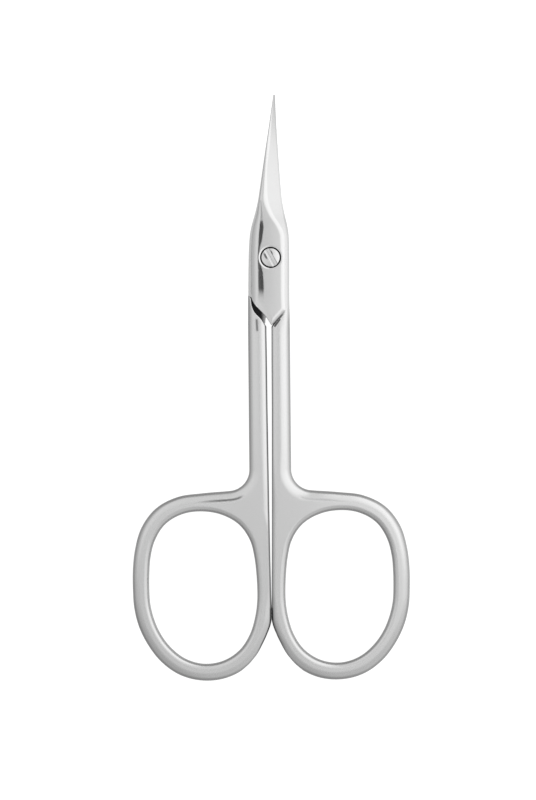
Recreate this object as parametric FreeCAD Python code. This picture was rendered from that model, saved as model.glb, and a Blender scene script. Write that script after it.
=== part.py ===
import FreeCAD, Part

import math
import os

# Cuticle scissors, closed, lying on their back face with the screw head up. Millimetres.
# X runs across the handles, Y along them towards the tips, Z up. The origin is on the pivot's axis, in
# the outer face of the back plate. Side +1 is the front half (right ring), side -1 the back half.

# Joint plate, one per half
plate_thickness = 1.7
plate_half_width = 3.4
plate_drop = 10.85
lap_gap = 0.06
plate_chamfer_slope = 0.55
nose_chamfer_drop = 0.26
nose_spine_chamfer_width = 0.95
nose_shank_chamfer_width = 1.4

# Blades
blade_length = 25.9
tip_thickness = 0.45
tip_sweep = 1.18
flat_radius = 5.0
blade_lift = 4.05
spine_chamfer_width = 1.0
spine_chamfer_slope = 0.6

# Handles: a shank and a finger ring on each half
handle_middle = -0.37
handle_thickness = 2.8
shank_length = 37.8
shank_half_span = 3.35
handle_root_share = 0.5
shank_gap = 0.54
ring_contact_gap = 0.08
opening_half_width = 8.64
opening_half_height = 12.2
ring_side_band = 2.61
ring_end_band = 2.8
ring_contact_band = 2.26
web_radius = 3.4
web_slope = 0.09
web_rise = 0.52
outer_edge_radius = 1.1
opening_edge_radius = 1.0
chamfer_share = 0.7
blank_allowance = 0.55

# Pivot screw
journal_diameter = 2.2
journal_clearance = 0.03
thread_diameter = 2.0
head_diameter = 3.0
head_thickness = 0.68
head_crown = 0.12
head_rim_chamfer = 0.1
head_side_clearance = 0.2
head_under_clearance = 0.02
counterbore_depth = 0.72
slot_width = 0.95
slot_depth = 0.38
slot_angle = 118.0

# Cutting tools overrun what they cut
overrun = 2.0
rim_tolerance = 1e-6

# A blade and its plate: at stations given as shares of the blade's length, the half width and the
# spine's inset as shares of the plate's half width, the cutting edge's height as a share of the
# plate's thickness and the spine chamfer's width as a share of its full width. The first two rows lie
# below the pivot, where a station is a share of the plate's drop.
station_shares = (-1.2, -0.5, 0.0, 0.10, 0.15, 0.20, 0.27, 0.35, 0.45, 0.62, 0.80, 1.0, 1.05)
width_shares = (1.0, 0.995, 0.970, 0.938, 0.900, 0.832, 0.694, 0.566, 0.471, 0.330, 0.182, 0.038, 0.010)
inset_shares = (0.165, 0.160, 0.124, 0.120, 0.118, 0.112, 0.095, 0.070, 0.055, 0.035, 0.020, 0.008, 0.004)
edge_shares = (0.63, 0.63, 0.63, 0.63, 0.62, 0.50, 0.27, 0.13, 0.11, 0.10, 0.085, 0.06, 0.055)
chamfer_shares = (1.0, 1.0, 1.0, 0.98, 0.93, 0.83, 0.55, 0.05, -0.50, -0.80, -1.0, -1.2, -1.2)
outline_steps = 18
cutter_steps = 26

# Lower edge of the plate, from the spine's corner to the V's tip, and the shoulder of the other half
# that faces it: x as shares of the plate's half width, y as shares of its drop
nose_shares = ((-0.835, -0.580), (-0.680, -0.682), (-0.447, -0.763), (-0.170, -0.860), (0.124, -1.0))
nose_arm_slope = 1.06
shoulder_shares = (
    (1.060, -0.545), (0.862, -0.585), (0.812, -0.682), (0.700, -0.783),
    (0.324, -0.919), (0.141, -1.009), (0.030, -1.090),
)

# Finger opening and ring, from the ring's centre: x outwards, in shares of the half sizes
opening_shares = (
    (0.984, 0.331), (0.859, 0.681), (0.374, 0.975), (-0.421, 0.944), (-0.916, 0.528),
    (-0.999, -0.140), (-0.848, -0.624), (0.520, -0.833), (0.994, -0.108),
)
ring_shares = (
    (0.192, 1.000), (0.928, 0.535), (0.983, -0.194), (0.561, -0.811), (-0.866, -0.582), (-1.010, -0.325),
)

stack_thickness = 2 * plate_thickness
lap_height = plate_thickness
handle_bottom = lap_height - handle_thickness / 2
ring_half_width = opening_half_width + ring_side_band
ring_half_height = opening_half_height + ring_end_band
ring_centre_x = opening_half_width + ring_contact_band
ring_centre_y = -(shank_length + ring_half_height)
far_height = stack_thickness + blade_lift + overrun
axis_z = FreeCAD.Vector(0, 0, 1)


def point(x, y, z=0.0):
    return FreeCAD.Vector(x, y, z)


def polygon(corners):
    return Part.makePolygon(corners + corners[:1])


def prism(wire, bottom, top):
    face = Part.Face(wire)
    face.translate(point(0, 0, bottom))
    return face.extrude(point(0, 0, top - bottom))


def curve(points):
    spline = Part.BSplineCurve()
    spline.interpolate(points)
    return spline.toShape()


def tangent_arc(start, end, way):
    """Arc from start to end that leaves start in the given direction."""
    chord = end.sub(start)
    left = point(-chord.y, chord.x)
    bulge = left.dot(way) / (chord.Length + chord.dot(way))
    if abs(bulge) < rim_tolerance:
        return Part.makeLine(start, end)
    return Part.Arc(start, start.add(end) * 0.5 + left * (bulge / 2), end).toShape()


def arc_pair(start, start_way, end, end_way):
    """Two arcs that meet smoothly, from one point and direction to another."""
    run = end.sub(start)
    along = run.dot(start_way.add(end_way))
    bend = 2 * (1 - start_way.dot(end_way))
    if bend < rim_tolerance:
        reach = run.dot(run) / (2 * along)
    else:
        reach = (math.sqrt(along**2 + bend * run.dot(run)) - along) / bend
    first_corner = start.add(start_way * reach)
    last_corner = end.sub(end_way * reach)
    side = last_corner.sub(first_corner)
    meeting = first_corner.add(side * 0.5)
    return [
        tangent_arc(start, meeting, start_way),
        tangent_arc(meeting, end, side * (1 / side.Length)),
    ]


def way_after(start, end, way):
    """Direction at the end of an arc that leaves its start in a given direction."""
    chord = end.sub(start)
    return chord * (2 * chord.dot(way) / chord.dot(chord)) - way


def arcs_along(points, way):
    """Smooth chain of arcs, one for each span, and the direction at its end."""
    edges = []
    for start, end in zip(points, points[1:]):
        edges.append(tangent_arc(start, end, way))
        way = way_after(start, end, way)
    return edges, way


def closing_way(points):
    """Direction at the first of an odd number of points from which a closed chain ends as it began."""
    first = points[1].sub(points[0])
    first.normalize()
    way = first
    for start, end in zip(points, points[1:] + points[:1]):
        way = way_after(start, end, way)
    both = first.add(way)
    both.normalize()
    return both


def arc_height(radius_from_pivot, tip_lift):
    """Height of an arc that leaves the flat plate tangentially and has risen by tip_lift at the tips."""
    run = radius_from_pivot - flat_radius
    if run <= 0:
        return 0.0
    reach = blade_length - flat_radius
    radius = (reach**2 + tip_lift**2) / (2 * tip_lift)
    return radius - math.sqrt(radius**2 - run**2)


def outer_lift(side):
    return blade_lift - side * (plate_thickness - tip_thickness)


def middle_line(y):
    """X of the closed pair's middle: straight along the handles, swept aside along the blades."""
    rise = max(0.0, y + plate_drop)
    return handle_middle + tip_sweep * (rise / (blade_length + plate_drop)) ** 2


def station_places():
    return [share * (plate_drop if share < 0 else blade_length) for share in station_shares]


def reading(shares, y):
    """Value of a column of shares at y, on smooth cubic pieces through the stations."""
    places = station_places()
    last = len(places) - 2
    low = max(0, min(last, sum(place <= y for place in places) - 1))
    slopes = []
    for row in (low, low + 1):
        before = max(row - 1, 0)
        after = min(row + 1, last + 1)
        slopes.append((shares[after] - shares[before]) / (places[after] - places[before]))
    step = places[low + 1] - places[low]
    t = (y - places[low]) / step
    rise = shares[low + 1] - shares[low]
    start = slopes[0] * step - rise
    end = rise - slopes[1] * step
    return shares[low] + t * rise + t * (1 - t) * ((1 - t) * start + t * end)


def spread(start, end, steps):
    return [start + (end - start) * step / steps for step in range(steps + 1)]


def edge_x(side, y):
    return middle_line(y) + side * reading(width_shares, y) * plate_half_width


def spine_x(side, y):
    return middle_line(y) - side * (reading(width_shares, y) - reading(inset_shares, y)) * plate_half_width


def nose_point(side, shares):
    return point(handle_middle + side * shares[0] * plate_half_width, shares[1] * plate_drop)


def plate_outline(side):
    """Seen from above: up the cutting side, across the tip, down the spine and round the V."""
    nose = [nose_point(side, shares) for shares in nose_shares]
    corner = nose[0]
    edge = [point(edge_x(side, y), y) for y in spread(-plate_drop, blade_length, outline_steps)]
    spine = [point(spine_x(side, y), y) for y in spread(blade_length, corner.y, outline_steps)]
    spine[-1] = corner
    arm = point(edge[0].x - nose[-1].x, nose_arm_slope * abs(edge[0].x - nose[-1].x))
    arm_end = nose[-1].add(arm)
    edge = [place for place in edge if place.y > arm_end.y]
    edge.insert(0, point(edge_x(side, arm_end.y), arm_end.y))
    return Part.Wire([
        curve(edge),
        Part.makeLine(edge[-1], spine[0]),
        curve(spine),
        curve(nose),
        Part.makeLine(nose[-1], edge[0]),
    ])


def curved_layer(side):
    """Space of one half's layer over the blades: a flat disc that turns up beyond flat_radius.

    Both lapped faces are surfaces of revolution about the pivot, so they clear each other at any angle.
    """
    reach = blade_length + overrun
    inner = lap_height + side * lap_gap / 2
    outer = lap_height + side * plate_thickness
    half_run = (flat_radius + reach) / 2
    lift = outer_lift(side)
    inner_arc = Part.Arc(
        point(flat_radius, 0, inner),
        point(half_run, 0, inner + arc_height(half_run, blade_lift)),
        point(reach, 0, inner + arc_height(reach, blade_lift)),
    ).toShape()
    outer_arc = Part.Arc(
        point(reach, 0, outer + arc_height(reach, lift)),
        point(half_run, 0, outer + arc_height(half_run, lift)),
        point(flat_radius, 0, outer),
    ).toShape()
    inner_start = point(0, 0, inner)
    outer_start = point(0, 0, outer)
    profile = Part.Wire([
        Part.makeLine(inner_start, point(flat_radius, 0, inner)),
        inner_arc,
        Part.makeLine(point(reach, 0, inner + arc_height(reach, blade_lift)),
                      point(reach, 0, outer + arc_height(reach, lift))),
        outer_arc,
        Part.makeLine(point(flat_radius, 0, outer), outer_start),
        Part.makeLine(outer_start, inner_start),
    ])
    return Part.Face(profile).revolve(point(0, 0, 0), axis_z, 180)


def flat_layer(side):
    """Space of one half's layer below the pivot, where the plates stay flat."""
    inner = lap_height + side * lap_gap / 2
    outer = lap_height + side * plate_thickness
    width = 2 * (plate_half_width + overrun)
    depth = plate_drop + overrun
    corner = point(-width / 2, -depth, min(inner, outer))
    return Part.makeBox(width, depth, abs(outer - inner), corner)


def section(side, y, z_base, low, high):
    """Four corners of a cutter's section: a sloping lower line and a level top far above it."""
    corners = [
        point(low[0], y, z_base + side * low[1]),
        point(high[0], y, z_base + side * high[1]),
        point(high[0], y, z_base + side * far_height),
        point(low[0], y, z_base + side * far_height),
    ]
    return polygon(corners)


def cutter_places():
    places = station_places()
    return spread(places[0], places[-1], cutter_steps)


def cutting_bevel(side):
    """What is ground away beside the cutting edge: the plate's chamfer, widening over the blade."""
    sections = []
    span = 2 * plate_half_width
    for y in cutter_places():
        x = edge_x(side, y)
        base = lap_height + arc_height(math.hypot(x, y) if y > 0 else 0.0, blade_lift)
        height = reading(edge_shares, y) * plate_thickness
        low = (x + side * overrun, height - plate_chamfer_slope * overrun)
        high = (x - side * span, height + plate_chamfer_slope * span)
        sections.append(section(side, y, base, low, high))
    return Part.makeLoft(sections, True)


def spine_chamfer(side):
    """What is ground away along the spine: a chamfer that runs out part of the way up the blade."""
    sections = []
    span = 2 * plate_half_width
    for y in cutter_places():
        x = spine_x(side, y)
        distance = math.hypot(x, y) if y > 0 else 0.0
        inner = arc_height(distance, blade_lift)
        outer = arc_height(distance, outer_lift(side))
        top = plate_thickness + side * (outer - inner)
        run_in = reading(chamfer_shares, y) * spine_chamfer_width
        low = (x - side * overrun, top - spine_chamfer_slope * (run_in + overrun))
        high = (x + side * span, top + spine_chamfer_slope * (span - run_in))
        sections.append(section(side, y, lap_height + inner, low, high))
    return Part.makeLoft(sections, True)


def nose_chamfer(side, start, end, width):
    """A wedge along one arm of the V, from its tip to its end, dropping towards the outside."""
    run = end.sub(start)
    along = point(run.x, run.y)
    along.normalize()
    begin = start.sub(along * overrun)
    finish = end.add(along * overrun)
    inward = point(-along.y, along.x)
    if inward.y < 0:
        inward = inward * -1
    slope = nose_chamfer_drop / width
    outer = lap_height + side * plate_thickness
    rise = overrun * slope
    inner_line = begin.add(inward * (width + overrun))
    outer_line = begin.sub(inward * overrun)
    corners = [
        point(outer_line.x, outer_line.y, outer - side * (nose_chamfer_drop + rise)),
        point(inner_line.x, inner_line.y, outer + side * rise),
        point(inner_line.x, inner_line.y, outer + side * far_height),
        point(outer_line.x, outer_line.y, outer + side * far_height),
    ]
    return Part.Face(polygon(corners)).extrude(finish.sub(begin))


def nose_chamfers(side):
    corner = nose_point(side, nose_shares[0])
    tip = nose_point(side, nose_shares[-1])
    arm_run = plate_half_width * (1 - nose_shares[-1][0])
    arm_end = point(tip.x + side * arm_run, tip.y + nose_arm_slope * arm_run)
    return [
        nose_chamfer(side, tip, corner, nose_spine_chamfer_width),
        nose_chamfer(side, tip, arm_end, nose_shank_chamfer_width),
    ]


def blade_and_plate(side):
    outline = plate_outline(side)
    blank = prism(outline, -overrun, far_height)
    layer = curved_layer(side).fuse(flat_layer(side)).removeSplitter()
    body = blank.common(layer)
    return body.cut([cutting_bevel(side), spine_chamfer(side)] + nose_chamfers(side))


def handle_outline():
    """Right handle's blank from above, oversize towards the gap, where it is ground flat later."""
    top = -plate_drop * handle_root_share
    inner_top = -blank_allowance + shank_gap / 2
    inner_end = point(-blank_allowance, ring_centre_y)
    turn = math.atan(web_slope)
    web_x = shank_half_span + web_radius
    level = ring_centre_y + ring_half_height + web_rise
    web_y = level + web_radius
    web_end = point(web_x - web_radius * math.sin(turn), web_y - web_radius * math.cos(turn))
    middle_turn = (math.pi / 2 - turn) / 2
    web_middle = point(
        web_x - web_radius * math.cos(middle_turn), web_y - web_radius * math.sin(middle_turn),
    )
    web_start = point(shank_half_span, web_y)
    ring = [
        point(ring_centre_x + x * ring_half_width, ring_centre_y + y * ring_half_height)
        for x, y in ring_shares
    ]
    ring_arcs, last_way = arcs_along([web_end] + ring, point(math.cos(turn), -math.sin(turn)))
    return Part.Wire([
        Part.makeLine(point(shank_half_span, top), web_start),
        Part.Arc(web_start, web_middle, web_end).toShape(),
        *ring_arcs,
        *arc_pair(ring[-1], last_way, inner_end, point(0, 1)),
        Part.makeLine(inner_end, point(inner_top, top)),
        Part.makeLine(point(inner_top, top), point(shank_half_span, top)),
    ])


def opening_outline():
    """Right finger opening from above."""
    places = [
        point(ring_centre_x + x * opening_half_width, ring_centre_y + y * opening_half_height)
        for x, y in opening_shares
    ]
    arcs, _ = arcs_along(places + places[:1], closing_way(places))
    return Part.Wire(arcs)


def flat_edges(shape, height):
    """Edges of a shape's rim that lie in one level plane and run along the handle."""
    edges = []
    for edge in shape.Edges:
        box = edge.BoundBox
        level = abs(box.ZMin - height) < rim_tolerance and abs(box.ZMax - height) < rim_tolerance
        if level and box.YLength > rim_tolerance:
            edges.append(edge)
    return edges


def lies_on(edge, wire):
    """Whether an edge's middle, seen from above, is on the wire."""
    middle = edge.valueAt((edge.FirstParameter + edge.LastParameter) / 2)
    return wire.distToShape(Part.Vertex(middle.x, middle.y, 0))[0] < rim_tolerance


def handle_blank():
    """Right handle and its finger opening, before the gap and shoulder are ground.

    The rims are rounded on top, where they show, and broken with a chamfer underneath.
    """
    top = handle_bottom + handle_thickness
    outer = prism(handle_outline(), handle_bottom, top)
    outer = outer.makeFillet(outer_edge_radius, flat_edges(outer, top))
    outer = outer.makeChamfer(outer_edge_radius * chamfer_share, flat_edges(outer, handle_bottom))
    opening = opening_outline()
    ring = outer.cut(prism(opening, handle_bottom - overrun, top + overrun))
    upper = [edge for edge in flat_edges(ring, top) if lies_on(edge, opening)]
    ring = ring.makeFillet(opening_edge_radius, upper)
    lower = [edge for edge in flat_edges(ring, handle_bottom) if lies_on(edge, opening)]
    return ring.makeChamfer(opening_edge_radius * chamfer_share, lower)


def gap_cutter():
    """Everything past the right handle's gap face, which is ground flat from the plate to the ring."""
    upper = shank_gap / 2
    lower = ring_contact_gap / 2
    contact_y = ring_centre_y - opening_half_height / 2
    beyond_y = contact_y - ring_half_height
    beyond = lower + (lower - upper) * (contact_y - beyond_y) / (-plate_drop - contact_y)
    outside = -ring_half_width
    corners = [
        point(upper, 0), point(upper, -plate_drop), point(lower, contact_y), point(beyond, beyond_y),
        point(outside, beyond_y), point(outside, 0),
    ]
    return prism(polygon(corners), handle_bottom - overrun, handle_bottom + handle_thickness + overrun)


def shoulder_pocket(side):
    """Room in one half's handle for the other half's plate, down to the shoulder that faces its V."""
    shoulder = [nose_point(side, shares) for shares in shoulder_shares]
    first = shoulder[0]
    last = shoulder[-1]
    across = side * (plate_half_width + overrun)
    outer_x = handle_middle + across
    inner_x = handle_middle - across
    wire = Part.Wire([
        curve(shoulder),
        Part.makePolygon([
            last, point(inner_x, last.y), point(inner_x, 0), point(outer_x, 0), point(outer_x, first.y),
            first,
        ]),
    ])
    face = lap_height + side * lap_gap / 2
    far = face - side * (plate_thickness + overrun)
    return prism(wire, min(face, far), max(face, far))


def handle(side):
    body = handle_blank().cut(gap_cutter())
    if side < 0:
        body = body.mirror(point(0, 0, 0), point(1, 0, 0))
    body.translate(point(handle_middle, 0, 0))
    return body.cut(shoulder_pocket(side))


def bore(diameter, bottom, top):
    return Part.makeCylinder(diameter / 2, top - bottom, point(0, 0, bottom), axis_z)


def front_half():
    body = blade_and_plate(1).fuse(handle(1)).removeSplitter()
    journal_hole = bore(journal_diameter + 2 * journal_clearance, -overrun, stack_thickness + overrun)
    seat = bore(head_diameter + 2 * head_side_clearance, stack_thickness - counterbore_depth,
                stack_thickness + overrun)
    return body.cut([journal_hole, seat])


def back_half():
    body = blade_and_plate(-1).fuse(handle(-1)).removeSplitter()
    return body.cut(bore(thread_diameter, -overrun, stack_thickness))


def pivot_screw():
    """Turned profile: threaded end, journal with its shoulder on the back half, and a crowned head."""
    seat = stack_thickness - counterbore_depth + head_under_clearance
    shoulder = lap_height - lap_gap / 2
    rim = seat + head_thickness
    thread = thread_diameter / 2
    journal = journal_diameter / 2
    head = head_diameter / 2
    lower = Part.makePolygon([
        point(0, 0, 0), point(thread, 0, 0), point(thread, 0, shoulder), point(journal, 0, shoulder),
        point(journal, 0, seat), point(head, 0, seat), point(head, 0, rim - head_rim_chamfer),
        point(head - head_rim_chamfer, 0, rim),
    ])
    face_edge = head - head_rim_chamfer
    top = rim + head_crown
    crown_radius = (face_edge**2 + head_crown**2) / (2 * head_crown)
    halfway = top - crown_radius + math.sqrt(crown_radius**2 - (face_edge / 2)**2)
    crown = Part.Arc(
        point(face_edge, 0, rim), point(face_edge / 2, 0, halfway), point(0, 0, top),
    ).toShape()
    profile = Part.Wire(lower.Edges + [crown, Part.makeLine(point(0, 0, top), point(0, 0, 0))])
    screw = Part.Face(profile).revolve(point(0, 0, 0), axis_z, 360)
    slot = Part.makeBox(
        2 * head_diameter, slot_width, slot_depth + overrun,
        point(-head_diameter, -slot_width / 2, rim - slot_depth),
    )
    slot.rotate(point(0, 0, 0), axis_z, slot_angle)
    return screw.cut(slot)


os.makedirs("parts", exist_ok=True)
for name, build in (("front_half", front_half), ("back_half", back_half), ("pivot_screw", pivot_screw)):
    shape = build()
    solids = shape.Solids
    print(name, "solids", len(solids), "valid", shape.isValid(), "volume mm3", round(shape.Volume, 2))
    solids[0].exportStep(os.path.join("parts", name + ".step"))
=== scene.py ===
import math

import bmesh
import bpy
import numpy as np
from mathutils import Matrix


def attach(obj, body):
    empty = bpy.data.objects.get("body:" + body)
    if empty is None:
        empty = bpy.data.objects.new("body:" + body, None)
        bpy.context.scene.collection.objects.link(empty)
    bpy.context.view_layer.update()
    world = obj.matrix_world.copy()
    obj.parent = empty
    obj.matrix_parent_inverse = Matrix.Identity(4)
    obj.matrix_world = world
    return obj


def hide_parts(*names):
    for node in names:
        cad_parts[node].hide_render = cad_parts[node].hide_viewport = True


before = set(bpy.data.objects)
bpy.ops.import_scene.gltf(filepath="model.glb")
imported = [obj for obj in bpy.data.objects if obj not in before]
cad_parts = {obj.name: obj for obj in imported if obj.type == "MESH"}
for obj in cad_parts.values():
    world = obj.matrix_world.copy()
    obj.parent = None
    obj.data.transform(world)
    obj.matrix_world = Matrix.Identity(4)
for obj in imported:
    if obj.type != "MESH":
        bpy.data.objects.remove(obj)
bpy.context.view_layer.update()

# Joint plates and blades, one on each half.
# Forged stainless steel: a flat plate round the pivot runs out into a slim blade that turns up towards
# its tip. Spine and cutting side are ground, so a chamfer and a wide bevel meet along soft ridges.

MILLIMETRE = 0.001
HALVES = {"front": 1, "back": -1}

PLATE_THICKNESS = 1.7
PLATE_HALF_WIDTH = 3.4
PLATE_DROP = 10.85
LAP_HEIGHT = PLATE_THICKNESS
LAP_GAP = 0.06
LAP_TOLERANCE = LAP_GAP / 4
BLADE_LENGTH = 25.9
BLADE_LIFT = 4.05
TIP_THICKNESS = 0.45
TIP_SWEEP = 1.18
FLAT_RADIUS = 5.0
HANDLE_MIDDLE = -0.37

BEVEL_SLOPE = 0.55
SPINE_CHAMFER_WIDTH = 0.9
SPINE_RIDGE_SOFTNESS = 0.05
SPINE_CHAMFER_SLOPES = (0.38, 0.82)
BLADE_SPINE_ROUNDING = (0.6, 0.13)
BLADE_SPINE_SPAN = (5.0, 9.0)
BLADE_SPINE_FULL_WIDTH = 1.8
BLADE_SPINE_LEAST_SHARE = 0.05
FLAT_CROWN = 0.006
FLAT_CROWN_CENTRE = -0.8
END_CROWN = 0.005
END_CROWN_START = -5.2
NOSE_CHAMFER_SLOPE = 0.19
NOSE_SPINE_CHAMFER_WIDTH = 0.6
NOSE_SHANK_CHAMFER_WIDTHS = (0.6, 1.1)
RIDGE_SOFTNESS = 0.18
NOSE_RIDGE_SOFTNESS = 0.03
BLADE_RIDGE_SOFTNESS = 0.26
BLADE_RIDGE_SPAN = (0.0, 10.0)
RIM_ROUNDING = 0.07
RIM_FACET_WIDTH = 0.25
RIM_FACET_SLOPE = 0.85
NOSE_ARM_ROUNDING = 0.42
NOSE_ARM_ROUNDING_DROP = 0.13
NOSE_ARM_MERGE = (2.2, 2.8)

JOURNAL_BORE = 1.13
THREAD_BORE = 1.0
COUNTERBORE = 1.7
COUNTERBORE_DEPTH = 0.72
BORE_CHAMFER = 0.06
COUNTERBORE_CHAMFER = 0.2
COUNTERBORE_CHAMFER_DROP = 0.09

# Stations along a half, as shares of PLATE_DROP below the pivot and of BLADE_LENGTH above it. At each come
# the half width, what the spine's side has less, the bevel's height at the edge, and the chamfer's width,
# which is below nought where the chamfer has run out.
STATION_SHARES = (-1.2, -0.5, 0.0, 0.10, 0.15, 0.20, 0.27, 0.35, 0.45, 0.62, 0.80, 1.0, 1.05)
WIDTH_SHARES = (0.965, 0.965, 0.955, 0.933, 0.900, 0.832, 0.694, 0.566, 0.471, 0.330, 0.182, 0.038, 0.010)
INSET_SHARES = (0.165, 0.160, 0.124, 0.120, 0.118, 0.112, 0.095, 0.070, 0.055, 0.035, 0.020, 0.008, 0.004)
EDGE_SHARES = (0.63, 0.63, 0.63, 0.63, 0.62, 0.50, 0.27, 0.13, 0.11, 0.10, 0.085, 0.06, 0.055)
CHAMFER_SHARES = (1.0, 1.0, 1.0, 0.98, 0.93, 0.83, 0.55, 0.05, -0.50, -0.80, -1.0, -1.2, -1.2)
NOSE_SHARES = ((-0.835, -0.580), (-0.680, -0.682), (-0.447, -0.763), (-0.170, -0.860), (0.124, -1.0))
NOSE_ARM_SLOPE = 1.06
BACK_NOSE_CUT = (0.5, 0.62, -9.6)

# Strip of mirror polish, as y, its left x and its right x.
POLISHED_BAND = (
    (-6.9, -2.24, -1.12), (-4.4, -2.23, -1.12), (-2.3, -2.22, -1.24), (0.1, -2.20, -1.86),
    (1.6, -2.19, -1.66), (2.85, -2.15, -1.32), (4.75, -1.98, -1.06), (5.6, -1.66, -1.14),
    (6.8, -1.50, -1.26), (8.4, -1.52, -1.40), (9.2, -1.56, -1.46),
)
# Painted dark reflection over the strip's upper end: y where it starts and y where it is full, and its
# darkness.
BAND_TAIL = (5.8, 6.6)
BAND_TAIL_REFLECTION_DARKNESS = 0.5
POLISHED_SOFTNESS = (0.08, 0.22)
POLISHED_FADE = 2.0
MIRROR_ROUGHNESS = 0.06
# Painted shade in the crevice past the other half's V: its margin past the V, and the span across in which
# it fades in.
CREVICE_SHADE_MARGIN = 0.05
CREVICE_SHADE_FADE = (0.3, 1.2)
# Colour and roughness that painted shade mixes into the steel: dark and dull where shade is painted.
PAINTED_SHADE_COLOUR = "#2A2A2B"
PAINTED_SHADE_ROUGHNESS = 0.55

PLATE_COLUMNS = 90
PLATE_ROW_STEP = 0.12
NOSE_ROWS = 48
NOSE_BASE = -3.6
NOSE_ARM_STEPS = 24
PATCH_HALF_SIDE = 2.3
PATCH_RINGS = 12

MERGE_DISTANCE = 1e-7
DEGENERATE_DISTANCE = 1e-8
SHARP_ANGLE = 30.0


def grid(*coordinates):
    """One array of points from an array of each coordinate."""
    return np.stack(np.broadcast_arrays(*coordinates), axis=-1)


def straight_step(low, high, value):
    """Rises from 0 at low to 1 at high along a straight line."""
    return np.clip((value - low) / (high - low), 0, 1)


def read_rows(rows, place, column=1):
    """A table's column at a place, along straight lines between its rows; column 0 holds the places."""
    table = np.array(rows)
    return np.interp(place, table[:, 0], table[:, column])


def past_pivot(x, y):
    """Distance from the pivot, counted along the blade; nought beside and below the pivot."""
    return np.where(y > 0, np.hypot(x, y), 0.0)


def arc_height(distance, tip_lift):
    """Height of a circular arc that leaves the flat plate at FLAT_RADIUS and is tip_lift up at the tips."""
    run = np.maximum(distance - FLAT_RADIUS, 0.0)
    reach = BLADE_LENGTH - FLAT_RADIUS
    radius = (reach**2 + tip_lift**2) / (2 * tip_lift)
    return radius - np.sqrt(radius**2 - run**2)


def reading(shares, y):
    """Cubic pieces through the stations; the slope at a station is that of its neighbours' chord."""
    places = np.array([s * (PLATE_DROP if s < 0 else BLADE_LENGTH) for s in STATION_SHARES])
    values = np.array(shares)
    ahead = np.minimum(np.arange(len(places)) + 1, len(places) - 1)
    behind = np.maximum(np.arange(len(places)) - 1, 0)
    slopes = (values[ahead] - values[behind]) / (places[ahead] - places[behind])
    low = np.clip(np.searchsorted(places, y, side="right") - 1, 0, len(places) - 2)
    step = places[low + 1] - places[low]
    t = (y - places[low]) / step
    rise = values[low + 1] - values[low]
    start = slopes[low] * step - rise
    end = rise - slopes[low + 1] * step
    return values[low] + t * rise + t * (1 - t) * ((1 - t) * start + t * end)


def middle_line(y):
    """Parabola: straight along the handles, swept aside along the blades."""
    rise = np.maximum(y + PLATE_DROP, 0.0)
    return HANDLE_MIDDLE + TIP_SWEEP * (rise / (BLADE_LENGTH + PLATE_DROP)) ** 2


def edge_x(side, y):
    """X of the cutting edge: the half width to the half's own side of the middle line."""
    return middle_line(y) + side * reading(WIDTH_SHARES, y) * PLATE_HALF_WIDTH


def spine_x(side, y):
    """X of the spine: the half width, less its inset, to the other side of the middle line."""
    width = reading(WIDTH_SHARES, y) - reading(INSET_SHARES, y)
    return middle_line(y) - side * width * PLATE_HALF_WIDTH


def curve_through(points, steps, start_way=None, end_way=None):
    """Cubic pieces through the points, tangent at each to the circle through it and its neighbours."""
    points = np.asarray(points, float)
    runs = np.diff(points, axis=0)
    lengths = np.linalg.norm(runs, axis=1)[:, None]
    ways = np.empty_like(points)
    ways[1:-1] = runs[:-1] * (lengths[1:] / lengths[:-1]) + runs[1:] * (lengths[:-1] / lengths[1:])
    ways[0] = runs[0] if start_way is None else start_way
    ways[-1] = runs[-1] if end_way is None else end_way
    ways /= np.linalg.norm(ways, axis=1)[:, None]
    t = (np.arange(steps) / steps)[None, :, None]
    a, b = points[:-1, None], points[1:, None]
    da, db = (ways[:-1] * lengths)[:, None], (ways[1:] * lengths)[:, None]
    h = (2 * t**3 - 3 * t**2 + 1) * a + (t**3 - 2 * t**2 + t) * da
    h = h + (3 * t**2 - 2 * t**3) * b + (t**3 - t**2) * db
    return np.vstack([h.reshape(-1, points.shape[1]), points[-1:]])


def nose_points():
    """The V's spine-side arm in a right half's own plan: x from the middle line, y from the pivot."""
    shares = np.array(NOSE_SHARES)
    return shares * (PLATE_HALF_WIDTH, PLATE_DROP)


def nose_y(own_x, side=1):
    """Lower edge of the plate: a slightly bowed arm to the V's tip, then a straight arm.

    The back half's V is cut short on the gap's side, so that the gap runs up to the front half's V.
    """
    arm = curve_through(nose_points(), NOSE_ARM_STEPS)
    tip_x, tip_y = nose_points()[-1]
    bowed = np.interp(own_x, arm[:, 0], arm[:, 1])
    straight = tip_y + NOSE_ARM_SLOPE * (own_x - tip_x)
    line = np.where(own_x < tip_x, bowed, straight)
    if side < 0:
        low, high, level = BACK_NOSE_CUT
        line = line + np.maximum(level - line, 0) * straight_step(high, low, own_x)
    return line


def soft_least(first, second, softness=RIDGE_SOFTNESS):
    """The lower of two heights, with a parabola over the ridge where they cross."""
    near = np.maximum(1 - np.abs(first - second) / softness, 0.0)
    return np.minimum(first, second) - softness / 4 * near**2


def round_drop(distance, reach, depth=None):
    """How far an edge's rounding lies below the face, at a distance from the edge.

    It is a quarter ellipse, or a quarter circle where no depth is given.
    """
    t = np.clip(1 - distance / reach, 0.0, 1.0)
    return (depth or reach) * (1 - np.sqrt(1 - t**2))


def arm_distance(own_x, y, start, end):
    """Distance from the straight line through start and end."""
    run = np.subtract(end, start)
    return np.abs(run[0] * (y - start[1]) - run[1] * (own_x - start[0])) / np.hypot(*run)


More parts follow.
